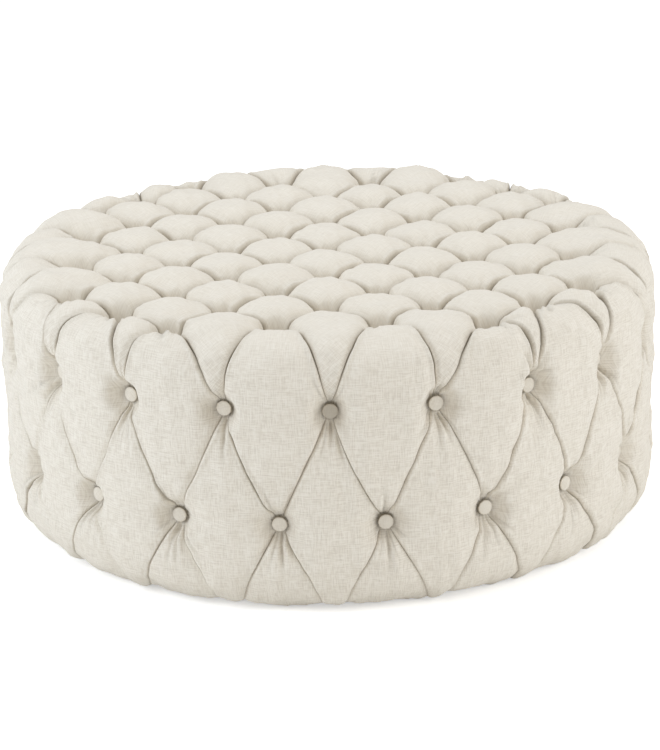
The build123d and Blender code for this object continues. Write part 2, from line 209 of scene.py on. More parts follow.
def edgeOf(first, last):
    # Each pleat is drawn once, so that both its puffs share one curve
    key = (min(first, last), max(first, last))
    if key not in edges:
        kinds = {nodeKind[first], nodeKind[last]}
        bow = pleat["topBow"] * randomDraw.uniform(-1, 1)
        skew = 0.0
        (x0, y0), (x1, y1) = nodeChart[key[0]], nodeChart[key[1]]
        cross = x0 * y1 - y0 * x1                       # above zero where the pleat runs to the right
        if kinds == {"hem"}:
            bow = 0.0
        if kinds == {"rim", "upper"}:
            bow = math.copysign(pleat["rimBow"], cross) * randomDraw.uniform(*pleat["rimPlay"])
            skew = pleat["rimSkew"]
        if kinds == {"upper", "lower"}:
            toFront = (cross > 0) == (x0 <= 1e-6)
            strength = pleat["towardsFront"] if toFront else pleat["towardsBack"]
            strength += randomDraw.uniform(-pleat["sidePlay"], pleat["sidePlay"])
            bow = -math.copysign(pleat["sideBow"], cross) * strength
        if kinds == {"lower", "hem"}:
            bow = math.copysign(pleat["hemBow"], cross) * randomDraw.uniform(*pleat["hemPlay"])
            skew = pleat["hemSkew"]
        edges[key] = {"bow": bow, "over": key[1] % 2, "skew": skew}
    return key, edges[key]


def edgePoint(first, last, t):
    key, edge = edgeOf(first, last)
    start, end = nodeChart[key[0]], nodeChart[key[1]]
    if key[0] != first:
        t = 1 - t
    along = end - start
    across = np.array([-along[1], along[0]]) / np.linalg.norm(along)
    t = np.asarray(t)[..., None]
    curve = edge["bow"] * 4 * t * (1 - t) * (1 + edge["skew"] * (1 - 2 * t))
    place = start * (1 - t) + end * t + across * curve
    if nodeKind[first] == "hem" and nodeKind[last] == "hem":
        place = place * hemS / np.linalg.norm(place, axis=-1, keepdims=True)
    return place


def edgeDepth(first, last, t):
    # Steep down into each button, and level between them
    start, end = nodeDepth[first], nodeDepth[last]
    kinds = {nodeKind[first], nodeKind[last]}
    onTop = kinds <= {"crown", "rim"}
    middle = pleat["sideDepth"]
    if onTop:
        middle = pleat["topDepth"]
    elif "rim" in kinds:
        middle = pleat["rimDepth"]
    elif kinds == {"hem"}:
        middle = 0.0
    elif "hem" in kinds:
        middle = pleat["hemShare"] * pleat["sideDepth"]
    power, width = pleat["topFall"] if onTop else pleat["sideFall"]
    t = np.asarray(t)
    nearStart = np.clip(1 - t / width, 0, 1) ** power
    nearEnd = np.clip(1 - (1 - t) / width, 0, 1) ** power
    return start * nearStart + end * nearEnd + middle * (1 - nearStart - nearEnd)


half = cover["cellDiagonal"] / 2
topNodes = {}
for row in range(-cover["gridReach"], cover["gridReach"] + 1):
    for column in range(-cover["gridReach"], cover["gridReach"] + 1):
        if (row + column) % 2 == 0 and math.hypot(column * half, row * half) <= cover["rimLimit"]:
            kind = "rim" if math.hypot(column, row) > cover["crownLimit"] else "crown"
            chart = chartFromTop(column * half, row * half)
            topNodes[(column, row)] = addNode(chart, cover["topDepth"], kind)
pitch = 360 / cover["sideCount"]
upperNodes, lowerNodes, hemLeft, hemRight = [], [], [], []
for index in range(cover["sideCount"]):
    angle = index * pitch
    upperNodes.append(addNode(chartFromSide(angle, cover["upperRow"]), cover["sideDepth"], "upper"))
    middle = angle + pitch / 2
    lowerNodes.append(addNode(chartFromSide(middle, cover["lowerRow"]), cover["sideDepth"], "lower"))
    for group, side in ((hemLeft, -1), (hemRight, 1)):
        play = randomDraw.uniform(-cover["hemSpreadPlay"], cover["hemSpreadPlay"])
        turn = math.radians(middle + side * cover["hemSpread"] + play)
        group.append(addNode(hemS * np.array([math.sin(turn), -math.cos(turn)]), cover["hemDepth"], "hem"))
rimRing = sorted(
    (node for node in topNodes.values() if nodeKind[node] == "rim"),
    key=lambda node: turnOf(nodeChart[node]) % (2 * math.pi),
)

gridT = np.linspace(0, 1, cover["edgeSteps"] + 1)
gridT = gridT - cover["edgeGrading"] * np.sin(2 * math.pi * gridT) / (2 * math.pi)


def bell(distance, centre, width):
    return np.exp(-((distance - centre) / width) ** 2)


def sideShare(chart):
    # 0 on the top and 1 on the side: over the rim the pleats turn from broad folds to thin lines
    return np.clip(1 - (sideS - levelOf(chart)) / pleat["rimBlend"], 0, 1)


def pleatRelief(distance, over, side):
    # Narrow groove on the pleat's line, with the fold's lip on the side that lies over
    cut = np.clip(pleat["cutPace"] * side, 0, 1)
    relief = pleat["grooveDepth"] * np.exp(-distance / pleat["grooveWidth"])
    shoulder = pleat["shoulderDepth"] * (1 - pleat["shoulderCut"] * cut)
    relief = relief + shoulder * np.exp(-distance / pleat["shoulderWidth"])
    lip = pleat["lipHeight"] * (1.0 if over else pleat["underLip"])
    lip = lip * (1 - bell(distance, 0, pleat["lipStart"]))
    lip = lip * (1 + pleat["rimLip"] * side * (1 - side))
    relief = relief - lip * bell(distance, pleat["lipPlace"], pleat["lipWidth"])
    return relief * (1 - pleat["sideCut"] * cut)


# Button seats and the small folds that gather round them, metres
seat = {
    "radius": 0.0125,
    "dimple": {"crown": 0.0100, "rim": 0.0150, "upper": 0.0210, "lower": 0.0210},    # width round the seat
    "pleatEnd": 0.0100,          # width round the seat over which the pleats end
    "ringDepth": 0.0034,         # dark gap that a button presses round itself
    "ringWidth": 0.0013,
    "gatherHeight": 0.0017,
    "gatherFolds": 3,
    "gatherStart": 0.010,        # distance from the button's middle, and length of the rise
    "gatherRise": 0.010,
    "gatherHold": 0.018,         # where they start to die out, and how slowly
    "gatherFade": 0.018,
    "topGathers": 0.7,           # share of their height at the top's buttons
    "quadPlay": (0.5, 1.3),      # how much they differ in four-sided puffs, and in widening ones
    "quadPhase": (-2.5, 2.5),
    "spanPlay": (0.5, 1.2),
    "spanPhase": (-2, 2),
}


def seatShare(distance, blend):
    # 1 under a button, 0 from the end of its dimple
    share = np.clip((seat["radius"] + blend - distance) / blend, 0, 1)
    return share * share * (3 - 2 * share)


def seatRelief(depth, distance, node):
    # Flat seat round a button, with the cloth drawn up round it
    ring = seat["ringDepth"] * bell(distance, seat["radius"], seat["ringWidth"])
    return depth + (nodeDepth[node] - depth) * seatShare(distance, seat["dimple"][nodeKind[node]]) + ring


def gatherRelief(distance, share, phase, strength):
    # Small folds that run out from a button between two pleats
    rise = np.clip((distance - seat["gatherStart"]) / seat["gatherRise"], 0, 1)
    window = rise * np.exp(-np.maximum(distance - seat["gatherHold"], 0) / seat["gatherFade"])
    folds = np.cos(2 * math.pi * seat["gatherFolds"] * share + phase * np.sin(math.pi * share))
    return seat["gatherHeight"] * strength * window * folds * np.sin(math.pi * share) ** 0.5


# Short creases that run out from the rim's and side's buttons and up from the hem
wrinkles = {
    "perButton": 8,
    "upward": (0.35, 0.25),      # share that runs up from the upper and the lower buttons
    "start": 0.012,              # metres from the button
    "reach": (0.024, 0.078),
    "spread": 21.0,              # degrees either side of straight down
    "height": (0.0015, 0.0040),
    "width": 0.0029,
    "rise": 0.010,               # length over which a crease starts, and share of it over which it ends
    "fade": 0.6,
    "ridge": (0.7, 2.4, 1.5),    # height, place and width of the soft ridge, next to the groove's
    "bend": (0.05, 37, 0.06),    # how far a crease bends, how the bend varies, and over what length
    "shade": (0.30, 0.55),       # painted shade in the groove: darkness, and width next to the groove's
    "perRimButton": 8,
    "rimReach": (0.022, 0.060),
    "rimSpread": 34.0,
    "rimMargin": 0.04,           # puffs that end nearer than this to the rim's buttons have none
    "hemCount": 110,
    "hemStart": -0.006,
    "hemReach": (0.010, 0.030),
    "hemSpread": 12.0,
    "hemShare": 0.6,             # of the others' height
    "near": (0.32, 0.26),        # radians and metres, beyond which a crease can't reach a puff
}


def creasesFrom(node, count, spread, reach, upward=0.0):
    # Each crease: azimuth, length along the profile, direction, start, reach and height
    turn, level = turnOf(nodeChart[node]), levelOf(nodeChart[node])
    lines = []
    for _ in range(count):
        way = math.radians(randomDraw.normal(0, spread))
        if upward and randomDraw.uniform() < upward:
            way += math.pi
        length = randomDraw.uniform(*reach)
        height = randomDraw.uniform(*wrinkles["height"])
        lines.append((turn, level, way, wrinkles["start"], length, height))
    return lines


def wrinkleLines():
    lines = []
    for nodes, upward in zip((upperNodes, lowerNodes), wrinkles["upward"]):
        for node in nodes:
            lines += creasesFrom(node, wrinkles["perButton"], wrinkles["spread"], wrinkles["reach"], upward)
    for _ in range(wrinkles["hemCount"]):
        turn = randomDraw.uniform(-math.pi, math.pi)
        reach = randomDraw.uniform(*wrinkles["hemReach"])
        way = math.pi + math.radians(randomDraw.normal(0, wrinkles["hemSpread"]))
        height = wrinkles["hemShare"] * randomDraw.uniform(*wrinkles["height"])
        lines.append((turn, hemS, way, wrinkles["hemStart"], reach, height))
    for node in rimRing:
        lines += creasesFrom(node, wrinkles["perRimButton"], wrinkles["rimSpread"], wrinkles["rimReach"])
    return np.array(lines)


def wrinkleRelief(chart):
    # Grooves with a soft ridge beside them, and the painted shade along each groove
    turn, level = turnOf(chart), levelOf(chart)
    relief, shade = np.zeros(level.shape), np.zeros(level.shape)
    middle = chart.reshape(-1, 2).mean(axis=0)
    middleTurn, middleLevel = turnOf(middle), levelOf(middle)
    nearTurn, nearLevel = wrinkles["near"]
    bendSize, bendTurns, bendLength = wrinkles["bend"]
    ridgeHeight, ridgePlace, ridgeWidth = wrinkles["ridge"]
    darkness, darkWidth = wrinkles["shade"]
    width = wrinkles["width"]
    for lineTurn, lineLevel, way, start, reach, height in wrinkleList:
        if abs(math.remainder(middleTurn - lineTurn, 2 * math.pi)) > nearTurn:
            continue
        if abs(middleLevel - lineLevel) > nearLevel:
            continue
        along = sideRadius * (np.remainder(turn - lineTurn + math.pi, 2 * math.pi) - math.pi)
        down = level - lineLevel
        run = down * math.cos(way) + along * math.sin(way)
        across = along * math.cos(way) - down * math.sin(way)
        across = across + bendSize * math.sin(bendTurns * lineTurn) * run * run / bendLength
        rise = np.clip((run - start) / wrinkles["rise"], 0, 1)
        window = rise * np.clip((start + reach - run) / (wrinkles["fade"] * reach), 0, 1)
        ridge = ridgeHeight * bell(across, ridgePlace * width, ridgeWidth * width)
        relief += height * window * (bell(across, 0, width) - ridge)
        # painted shade along the crease's groove
        shade = np.maximum(shade, darkness * window * bell(across, 0, darkWidth * width))
    return relief, shade


# Slight unevenness of the filling, metres
ripple = {
    "waves": 26,
    "length": (0.022, 0.085),
    "height": 0.00038,
    "seed": 21,
}


def clothRipple(place):
    # A function of the place alone, so that it is the same wherever two puffs meet
    total = np.zeros(place.shape[:-1])
    waves = np.random.default_rng(ripple["seed"])
    for _ in range(ripple["waves"]):
        direction = waves.normal(size=3)
        direction /= np.linalg.norm(direction)
        length = waves.uniform(*ripple["length"])
        total += np.sin(2 * math.pi * (place @ direction) / length + waves.uniform(0, 2 * math.pi))
    return total * ripple["height"]


# Painted shade beside folds and round buttons, drawing the cloth's colour towards greige: the share there,
# and the metres over which it fades
shading = {
    "top": ((0.60, 0.0016), (0.17, 0.0085)),
    "side": ((0.58, 0.0009), (0.04, 0.008)),
    "rim": (0.60, 0.0012),
    "rimSideways": (0.40, 0.0010),    # added to the rim's at the far left and right
    "button": (0.72, 0.0008),
    "buttonStart": 0.0118,
    "dimple": {"crown": 0.14, "rim": 0.26, "upper": 0.14, "lower": 0.14},
    "dimpleFade": 0.013,
}


def fading(distance, share, length):
    return share * np.exp(-distance / length)


def foldShade(distance, chart):
    # Painted shade beside a pleat: broad on the top, thin on the side, and darker over the rim at the far
    # left and right
    side = sideShare(chart)
    sideways = (chart[..., 0] / np.maximum(levelOf(chart), 1e-6)) ** 2
    onTop = sum(fading(distance, *pair) for pair in shading["top"])
    onSide = sum(fading(distance, *pair) for pair in shading["side"])
    share, length = (least + more * sideways for least, more in zip(shading["rim"], shading["rimSideways"]))
    overRim = fading(distance, share, length)
    return np.minimum(onTop + (onSide - onTop) * side + overRim * 4 * side * (1 - side), 1)


def buttonShade(distance, node):
    # Painted shade round a button and over its dimple
    away = np.maximum(distance - shading["buttonStart"], 0)
    dimple = fading(away, shading["dimple"][nodeKind[node]], shading["dimpleFade"])
    return fading(away, *shading["button"]) + dimple


def metresTo(chart, node):
    return metres(chart, np.broadcast_to(nodeChart[node], chart.shape))


def withSeats(chart, depth, pleats, shade, seats):
    # Ends a puff's pleats at its buttons, and draws the cloth up round each one in small folds
    gathers = 0
    for node, distance, share, strength, phase in seats:
        gathers = gathers + gatherRelief(distance, share, phase, strength)
        pleats = pleats * (1 - seatShare(distance, seat["pleatEnd"]))
        depth = seatRelief(depth, distance, node)
        # painted shade round each button and in its dimple
        shade = np.maximum(shade, buttonShade(distance, node))
    return chart, depth + pleats + gathers, shade


def quadPuff(corners, crownDepth):
    # Puff between four pleats; corners run round it
    n00, n10, n11, n01 = corners
    a, b = np.meshgrid(gridT, gridT, indexing="ij")
    e0, e1 = edgePoint(n00, n10, a), edgePoint(n01, n11, a)
    f0, f1 = edgePoint(n00, n01, b), edgePoint(n10, n11, b)
    u, v = a[..., None], b[..., None]
    p00, p10, p11, p01 = (nodeChart[node] for node in corners)
    corner = (1 - u) * (1 - v) * p00 + u * (1 - v) * p10 + u * v * p11 + (1 - u) * v * p01
    chart = (1 - v) * e0 + v * e1 + (1 - u) * f0 + u * f1 - corner
    nearA, farA = (1 - a) ** cover["fullness"], a ** cover["fullness"]
    nearB, farB = (1 - b) ** cover["fullness"], b ** cover["fullness"]
    d00, d10, d11, d01 = (nodeDepth[node] for node in corners)
    depth = nearB * edgeDepth(n00, n10, a) + farB * edgeDepth(n01, n11, a)
    depth = depth + nearA * edgeDepth(n00, n01, b) + farA * edgeDepth(n10, n11, b)
    depth = depth - nearA * nearB * d00 - farA * nearB * d10 - farA * farB * d11 - nearA * farB * d01
    bubble = (16 * a * b * (1 - a) * (1 - b)) ** cover["bubble"]
    depth = depth + (crownDepth - depth[len(gridT) // 2, len(gridT) // 2]) * bubble
    widthA, widthB = metres(f0, f1), metres(e0, e1)
    sides = (
        (b * widthB, (n00, n10)), ((1 - b) * widthB, (n01, n11)),
        (a * widthA, (n00, n01)), ((1 - a) * widthA, (n10, n11)),
    )
    shade, pleats, side = np.zeros(a.shape), 0, sideShare(chart)
    for number, (distance, pair) in enumerate(sides):
        over = (edgeOf(*pair)[1]["over"] + number) % 2
        pleats = pleats + pleatRelief(distance, over, side)
        shade = np.maximum(shade, foldShade(distance, chart))
    seats = []
    for node, toA, toB in ((n00, a, b), (n10, 1 - a, b), (n11, 1 - a, 1 - b), (n01, a, 1 - b)):
        share = np.arctan2(toB * widthB, toA * widthA + 1e-9) / (math.pi / 2)
        strength = randomDraw.uniform(*seat["quadPlay"])
        if nodeKind[node] in ("crown", "rim"):
            strength *= seat["topGathers"]
        phase = randomDraw.uniform(*seat["quadPhase"])
        seats.append((node, metresTo(chart, node), share, strength, phase))
    return withSeats(chart, depth, pleats, shade, seats)


def spanPuff(apex, leftNodes, rightNodes, crownShare, crownDepth):
    # Puff that widens from one button between two lines of pleats, down to a closing edge
    a = gridT[None, :]
    left, right, leftDepth, rightDepth, rowShare = [], [], [], [], []
    lastLeft, lastRight = apex, apex
    for number, (nextLeft, nextRight) in enumerate(zip(leftNodes, rightNodes)):
        t = gridT if number == 0 else gridT[1:]
        left.append(edgePoint(lastLeft, nextLeft, t))
        right.append(edgePoint(lastRight, nextRight, t))
        leftDepth.append(edgeDepth(lastLeft, nextLeft, t))
        rightDepth.append(edgeDepth(lastRight, nextRight, t))
        rowShare.append((number + t) / len(leftNodes))
        lastLeft, lastRight = nextLeft, nextRight
    left, right = np.concatenate(left), np.concatenate(right)
    leftDepth, rightDepth = np.concatenate(leftDepth)[:, None], np.concatenate(rightDepth)[:, None]
    b = np.concatenate(rowShare)[:, None]
    chart = left[:, None] * (1 - a[..., None]) + right[:, None] * a[..., None]
    straight = left[-1] * (1 - gridT[:, None]) + right[-1] * gridT[:, None]
    bottom = edgePoint(lastLeft, lastRight, gridT) - straight
    chart = chart + bottom[None] * (b ** 3)[..., None]
    nearApex = np.clip(1 - b / crownShare, 0, 1) ** 3
    nearEnd = np.clip((b - crownShare) / (1 - crownShare), 0, 1) ** 3
    endDepth = edgeDepth(lastLeft, lastRight, a)
    middleDepth = nodeDepth[apex] * nearApex + endDepth * nearEnd + crownDepth * (1 - nearApex - nearEnd)
    power = cover["spanFullness"] * cover["fullness"]
    edgeLeft = leftDepth - (nodeDepth[apex] * nearApex + nodeDepth[lastLeft] * nearEnd)
    edgeRight = rightDepth - (nodeDepth[apex] * nearApex + nodeDepth[lastRight] * nearEnd)
    depth = middleDepth + edgeLeft * (1 - a) ** power + edgeRight * a ** power
    width = metres(left, right)[:, None]
    shade, pleats, side = np.zeros(depth.shape), 0, sideShare(chart)
    atHem = nodeKind[lastLeft] == "hem"
    hemShare = np.clip(b * len(leftNodes) - len(leftNodes) + 1, 0, 1) if atHem else 0 * b
    fade, late = pleat["hemFade"]
    for number, distance in enumerate((a * width, (1 - a) * width)):
        pleats = pleats + pleatRelief(distance, number == 0, side) * (1 - fade * hemShare ** late)
        shade = np.maximum(shade, foldShade(distance, chart) * (1 - pleat["hemShadeFade"] * hemShare))
    if not atHem:
        gap = metres(chart, np.broadcast_to(chart[-1:], chart.shape))
        pleats = pleats + pleatRelief(gap, False, side)
        shade = np.maximum(shade, foldShade(gap, chart))
    seats = []
    for node, share in [(apex, a)] + [(n, a) for n in leftNodes] + [(n, 1 - a) for n in rightNodes]:
        if nodeKind[node] == "hem":
            continue
        distance = metresTo(chart, node)
        turn = share + 0 * b if node == apex else distance / (distance + share * width + 1e-9)
        strength = randomDraw.uniform(*seat["spanPlay"])
        phase = randomDraw.uniform(*seat["spanPhase"])
        seats.append((node, distance, np.clip(turn, 0, 1), strength, phase))
    return withSeats(chart, depth, pleats, shade, seats)


def withHem(puff):
    # The puff's lowest row carried on under the base as the turned-in hem
    chart, depth, shade = puff
    share = np.linspace(0, 1, cover["hemRows"] + 1)[1:, None]
    outward = chart[-1] / np.linalg.norm(chart[-1], axis=-1, keepdims=True)
    under = outward[None] * (hemS + cover["hemWidth"] * share[..., None])
    hold = (1 - share) ** 2
    return (
        np.concatenate([chart, under]), np.concatenate([depth, depth[-1] * hold]),
        np.concatenate([shade, shade[-1] * hold]),
    )


patchChart, patchPlaces, patchFaces, patchUv, patchShade = [], [], [], [], []


def addPatch(puff, uvTurn, onSide=False):
    # One puff as a grid of points, put below the envelope by its depth
    chart, depth, shade = puff
    place, normal = envelope(chart)
    if levelOf(chart).max() > cover["rimLimit"] + wrinkles["rimMargin"]:
        # each crease adds its groove to the relief and its painted shade to the shade
        relief, dark = wrinkleRelief(chart)
        depth, shade = depth + relief, np.maximum(shade, dark)
    place = place - normal * (depth + clothRipple(place))[..., None]
    place[..., 2] = np.maximum(place[..., 2], cover["hemClearance"])
    rows, columns = chart.shape[:2]
    index = np.arange(rows * columns).reshape(rows, columns) + sum(len(points) for points in patchPlaces)
    quads = np.stack([index[:-1, :-1], index[1:, :-1], index[1:, 1:], index[:-1, 1:]], -1).reshape(-1, 4)
    a, b, c = chart[0, 0], chart[-1, columns // 2], chart[rows // 2, -1]
    turn = (b[0] - a[0]) * (c[1] - a[1]) - (b[1] - a[1]) * (c[0] - a[0])
    if turn < 0:
        quads = quads[:, ::-1]
    if onSide:
        azimuth = np.remainder(turnOf(chart) - uvTurn + math.pi, 2 * math.pi) - math.pi
        uv = np.stack([sideRadius * (azimuth + uvTurn), -levelOf(chart)], -1)
    else:
        cosine, sine = math.cos(uvTurn), math.sin(uvTurn)
        uv = np.stack([
            chart[..., 0] * cosine + chart[..., 1] * sine, chart[..., 1] * cosine - chart[..., 0] * sine,
        ], -1)
    patchChart.append(chart.reshape(-1, 2))
    patchPlaces.append(place.reshape(-1, 3))
    patchFaces.append(quads)
    patchUv.append(uv.reshape(-1, 2))
    patchShade.append(shade.ravel())


def crownDraw(kind):
    # How far a puff's crown lies under the envelope
    return randomDraw.uniform(*cover["crownRange"][kind]) * cover["crownPlay"]


def coverPatches():
    # Every puff of the cover, from the top's middle out to the hem
    for (column, row), node in topNodes.items():
        corners = [(column, row), (column + 1, row + 1), (column, row + 2), (column - 1, row + 1)]
        if all(corner in topNodes for corner in corners):
            crown = crownDraw("top")
            addPatch(quadPuff([topNodes[corner] for corner in corners], crown), topWeaveTurn)
    byNode = {node: place for place, node in topNodes.items()}
    count = cover["sideCount"]
    for index in range(count):
        angle = math.radians(index * pitch)
        right, left = rimRing[index], rimRing[index - 1]
        (x0, y0), (x1, y1) = byNode[left], byNode[right]
        crown = crownDraw("top")
        crown -= cover["rearLeftLift"] * bell(index * pitch, *cover["rearLeftPlace"])
        if abs(x0 - x1) == 1:
            puff = spanPuff(upperNodes[index], [left], [right], cover["rimCrown"], crown)
        else:
            x, y = (x0 + x1) // 2, (y0 + y1) // 2       # the button inwards of those two
            if x0 == x1:
                x -= int(np.sign(x))
            if y0 == y1:
                y -= int(np.sign(y))
            puff = quadPuff([topNodes[(x, y)], left, upperNodes[index], right], crown)
        addPatch(puff, angle + topWeaveTurn)
    for index in range(count):
        crown = crownDraw("side")
        corners = [rimRing[index], upperNodes[(index + 1) % count], lowerNodes[index], upperNodes[index]]
        addPatch(quadPuff(corners, crown), math.radians((index + 0.5) * pitch), True)
    for index in range(count):
        crown = crownDraw("side")
        left, right = [lowerNodes[index - 1], hemRight[index - 1]], [lowerNodes[index], hemLeft[index]]
        puff = spanPuff(upperNodes[index], left, right, cover["sideCrown"], crown)
        addPatch(withHem(puff), math.radians(index * pitch), True)
        crown = crownDraw("hem")
        puff = spanPuff(lowerNodes[index], [hemLeft[index]], [hemRight[index]], cover["hemCrown"], crown)
        addPatch(withHem(puff), math.radians((index + 0.5) * pitch), True)


# Woven linen look: thick and thin threads both ways give the eye a soft grid with slubs
weave = {
    "light": "#f4ede0",
    "middle": "#ece4d5",
    "dark": "#e2d9ca",
    "places": (0.36, 0.48, 0.60),    # of dark, middle and light in the noise
    "fold": "#8a7f6b",           # greige of the painted shade deep in a pleat, round a button and along a crease
    "slubLength": 26.0,          # millimetres
    "slubWidth": 1.5,            # real threads are about 0.8 mm, drawn coarser so that they show
    "slubSeed": 3.1,
    "threadLength": 9.0,         # single threads, between the slubs
    "threadWidth": 1.4,
    "threadSeed": 8.4,
    "threadShare": 0.46,
    "noiseMiddle": 0.49,         # the noise is drawn in towards this where the weave shows less
    "ribSpacing": 3.158,         # millimetres; relief of four real threads at a time, so that it shows
    "ribShare": 0.12,
    "reliefDepth": 0.0011,       # metres
    "topShow": 0.42,             # the top's threads are pressed flat, and show less than the side's
    "roughness": 0.92,
}
topWeaveTurn = math.radians(45)                     # the top's cloth lies on the bias


def meshObject(name, points, faces, loopUv=None, smooth=True):
    mesh = bpy.data.meshes.new(name)
    mesh.from_pydata(points.tolist(), [], faces)
    if loopUv is not None:
        layer = mesh.uv_layers.new(name="weaveMap")
        layer.data.foreach_set("uv", loopUv.astype(np.float32).ravel())
    mesh.polygons.foreach_set("use_smooth", [smooth] * len(mesh.polygons))
    piece = bpy.data.objects.new(name, mesh)
    bpy.context.scene.collection.objects.link(piece)
    return piece


def floatAttribute(piece, name, values):
    layer = piece.data.attributes.new(name, "FLOAT", "POINT")
    layer.data.foreach_set("value", np.asarray(values, dtype=np.float32))


def weldedCover():
    # Puffs joined along their shared pleats, so that the cover is one closed sheet
    charts, places = np.concatenate(patchChart), np.concatenate(patchPlaces)
    uv, shade, quads = np.concatenate(patchUv), np.concatenate(patchShade), np.concatenate(patchFaces)
    keys = np.round(charts * 1e6).astype(np.int64)      # points join where they agree to a micrometre
    _, joined = np.unique(keys, axis=0, return_inverse=True)
    joined = joined.ravel()
    count = joined.max() + 1
    share = np.bincount(joined, minlength=count)
    points = np.stack([np.bincount(joined, places[:, axis], count) / share for axis in range(3)], -1)
    shades = np.bincount(joined, shade, count) / share
    shows = np.bincount(joined, sideShare(charts), count) / share
    faces, corners = [], []
    for quad, new in zip(quads.tolist(), joined[quads].tolist()):
        kept = [i for i in range(4) if new[i] != new[i - 1]]
        if len(kept) > 2:
            faces.append([new[i] for i in kept])
            corners += [quad[i] for i in kept]
    piece = meshObject("linen_cover", points, faces, uv[corners])
    floatAttribute(piece, "foldShade", shades)
    floatAttribute(piece, "weaveShow", weave["topShow"] + (1 - weave["topShow"]) * shows)
    return piece


print("drawing the cover's puffs")
wrinkleList = wrinkleLines()
coverPatches()
coverPiece = weldedCover()
print("cover", len(coverPiece.data.vertices), "points")

# Linen-covered buttons, metres
button = {
    "radius": 0.0112,
    "height": 0.0068,
    "lip": 0.00288,              # radius of the rounded rim
    "backRadius": 0.7,           # shares of the radius and the height
    "lipMiddle": 0.52,
    "lipRise": 0.30,
    "crownRise": 0.20,
    "lipFrom": -0.35,            # quarter turns below level at which the rounding starts
    "lipSteps": 12,
    "crownSteps": 8,
    "segments": 40,
    "sink": 0.0006,
    "tucks": (9, 0.012),         # waves of the tucked cloth round a button, as a share of its radius
    "tones": (0.03, 0.13),       # share of greige
    "darkTone": 0.48,            # the front button of the upper row is darker
    "edgeShade": 0.9,             # painted shade on the cloth at the button's edge, where it tucks into the gap
    "edgePlace": 0.80,           # share of the height up to which that reaches
    "edgePace": 2.2,
}


def buttonShape():
    # Outline of the cap from its back edge to its middle
    radius, height, lip = button["radius"], button["height"], button["lip"]
    turn = np.linspace(button["lipFrom"], 1, button["lipSteps"]) * math.pi / 2
    edgeR = radius - lip + lip * np.cos(turn)
    edgeZ = height * button["lipMiddle"] + height * button["lipRise"] * np.sin(turn)
    crownR = np.linspace(1, 0, button["crownSteps"] + 1)[1:] * edgeR[-1]
    crownZ = edgeZ[-1] + height * button["crownRise"] * (1 - (crownR / edgeR[-1]) ** 2)
    r = np.concatenate([[radius * button["backRadius"]], edgeR, crownR])
    z = np.concatenate([[0.0], edgeZ, crownZ])
    return r, z


def buttonGroup(name, nodes, cadNode, tones):
    r, z = buttonShape()
    count = button["segments"]
    turn = np.arange(count) / count * 2 * math.pi
    waves, waveSize = button["tucks"]
    points, faces, shades, uvs = [], [], [], []
    for node, tone in zip(nodes, tones):
        start = sum(len(p) for p in points)
        place, normal = envelope(nodeChart[node])
        middle = Vector(place - normal * (nodeDepth[node] + button["sink"]))
        turnTo = Vector((0, 0, 1)).rotation_difference(Vector(normal)).to_matrix()
        spin = randomDraw.uniform(0, 2 * math.pi)
        outer = np.clip((r / button["radius"])[:, None], 0, 1)
        tuck = 1 + waveSize * np.sin(waves * turn + spin)[None, :] * outer
        local = np.stack([
            r[:, None] * np.cos(turn) * tuck, r[:, None] * np.sin(turn) * tuck, z[:, None] + 0 * turn,
        ], -1).reshape(-1, 3)
        local = local[:-(count - 1)]                # the middle is one point
        world = local @ np.array(turnTo).T + np.array(middle)
        points.append(world)
        rows = len(r)
        for row in range(rows - 2):
            for step in range(count):
                after = (step + 1) % count
                a, b = start + row * count + step, start + row * count + after
                faces.append((a, b, b + count, a + count))
        tip = start + (rows - 1) * count
        base = start + (rows - 2) * count
        faces += [(base + step, base + (step + 1) % count, tip) for step in range(count)]
        faces.append(tuple(start + step for step in reversed(range(count))))
        # painted shade on the button's cloth towards its lower edge, where it tucks into the gap, over its
        # random tone
        below = 1 - local[:, 2] / (button["edgePlace"] * button["height"])
        shades += list(np.maximum(tone, button["edgeShade"] * np.clip(button["edgePace"] * below, 0, 1)))
        uvs.append(local[:, :2] + randomDraw.uniform(-1, 1, 2))
    corners = [corner for face in faces for corner in face]
    piece = meshObject(name, np.concatenate(points), faces, np.concatenate(uvs)[corners])
    floatAttribute(piece, "buttonToneAndShade", shades)
    floatAttribute(piece, "weaveShow", np.full(len(shades), weave["topShow"]))
    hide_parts(cadNode)
    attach(piece, "root")
    return piece


crownNodes = [node for node in topNodes.values() if nodeKind[node] == "crown"]
groups = []
for name, nodes, cadNode in (
    ("crown_buttons_covered", crownNodes, "crown_buttons"),
    ("rim_buttons_covered", rimRing, "rim_buttons"),
    ("upper_side_buttons_covered", upperNodes, "upper_side_buttons"),
    ("lower_side_buttons_covered", lowerNodes, "lower_side_buttons"),
):
    tones = list(randomDraw.uniform(*button["tones"], len(nodes)))
    if cadNode == "upper_side_buttons":
        tones[0] = button["darkTone"]
    groups.append(buttonGroup(name, nodes, cadNode, tones))
print("buttons", sum(len(piece.data.vertices) for piece in groups), "points")

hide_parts("tufted_top", "tufted_side")
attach(coverPiece, "root")


# Materials
def linear(hexColour):
    # sRGB hex to the linear colour that a shader takes
    channels = [int(hexColour[i:i + 2], 16) / 255 for i in (1, 3, 5)]
    return tuple(c / 12.92 if c <= 0.04045 else ((c + 0.055) / 1.055) ** 2.4 for c in channels) + (1.0,)


def addStep(tree, kind, settings=None, links=None):
    # Adds one node: settings go to its fields or sockets, links come from other nodes or their sockets
    step = tree.nodes.new(kind)
    for key, value in (settings or {}).items():
        if isinstance(key, str) and hasattr(step, key):
            setattr(step, key, value)
        else:
            step.inputs[key].default_value = value
    for key, source in (links or {}).items():
        socket = source if isinstance(source, bpy.types.NodeSocket) else source.outputs[0]
        tree.links.new(socket, step.inputs[key])
    return step


